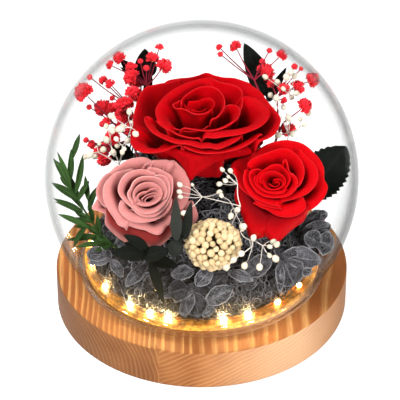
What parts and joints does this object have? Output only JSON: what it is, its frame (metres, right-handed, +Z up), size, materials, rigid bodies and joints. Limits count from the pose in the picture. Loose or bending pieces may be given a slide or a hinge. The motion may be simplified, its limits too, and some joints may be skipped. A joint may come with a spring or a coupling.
{
  "type": "preserved rose in glass dome",
  "caption": "Preserved roses, sprays and leaves on a bed of moss under a clear round glass dome, on a stepped round wooden base with a ring of small warm lights.",
  "frame": {"origin": "middle of the wooden base's underside, where the object stands", "axes": "+Z up along the dome's axis, front of the arrangement towards -Y, +X to the viewer's right"},
  "size_m": [0.1494, 0.1494, 0.147],
  "materials": {
    "oak": "oiled, warm orange-brown, grain front to back",
    "cover": "black moulded plastic",
    "glass": "clear blown glass",
    "lamps": "warm white lamps on a thin wire",
    "moss": "preserved curly moss, dyed charcoal",
    "red": "preserved petals, velvety bright red",
    "pink": "preserved petals, dusty pink",
    "red_babys_breath": "dried baby's breath, dyed red",
    "white_babys_breath": "dried baby's breath, white",
    "berries": "dried rice flower buds, cream",
    "green": "preserved needle leaves, deep green",
    "dark_leaf": "preserved leaves, green-black, satin",
    "hydrangea": "preserved hydrangea, dyed charcoal grey"
  },
  "bodies": {
    "root": {"wooden_base": "oak", "battery_cover": "cover", "light_switch": "cover", "glass_dome": "glass", "light_string": "lamps", "moss_bed": "moss", "large_rose_heart": "red", "large_rose_petal_01": "red", "large_rose_petal_02": "red", "large_rose_petal_03": "red", "large_rose_petal_04": "red", "large_rose_petal_05": "red", "large_rose_petal_06": "red", "large_rose_petal_07": "red", "large_rose_petal_08": "red", "large_rose_petal_09": "red", "large_rose_petal_10": "red", "large_rose_petal_11": "red", "large_rose_petal_12": "red", "large_rose_petal_13": "red", "large_rose_petal_14": "red", "right_rose_heart": "red", "right_rose_petal_01": "red", "right_rose_petal_02": "red", "right_rose_petal_03": "red", "right_rose_petal_04": "red", "right_rose_petal_05": "red", "right_rose_petal_06": "red", "right_rose_petal_07": "red", "right_rose_petal_08": "red", "pink_rose_heart": "pink", "pink_rose_petal_01": "pink", "pink_rose_petal_02": "pink", "pink_rose_petal_03": "pink", "pink_rose_petal_04": "pink", "pink_rose_petal_05": "pink", "pink_rose_petal_06": "pink", "pink_rose_petal_07": "pink", "pink_rose_petal_08": "pink", "red_babys_breath_left": "red_babys_breath", "red_babys_breath_right": "red_babys_breath", "white_babys_breath_left": "white_babys_breath", "white_babys_breath_centre": "white_babys_breath", "white_babys_breath_right": "white_babys_breath", "white_babys_breath_back": "white_babys_breath", "needle_sprig": "green", "ruscus_sprig_tall": "dark_leaf", "ruscus_sprig_low": "dark_leaf", "rose_leaf": "dark_leaf", "dark_leaf_left": "dark_leaf", "dark_leaf_right": "dark_leaf", "hydrangea_floret_1": "hydrangea", "hydrangea_floret_2": "hydrangea", "hydrangea_floret_3": "hydrangea", "hydrangea_floret_4": "hydrangea", "hydrangea_floret_5": "hydrangea", "hydrangea_floret_6": "hydrangea", "hydrangea_floret_7": "hydrangea", "hydrangea_floret_8": "hydrangea", "rice_flower": "berries"}
  },
  "joints": []
}
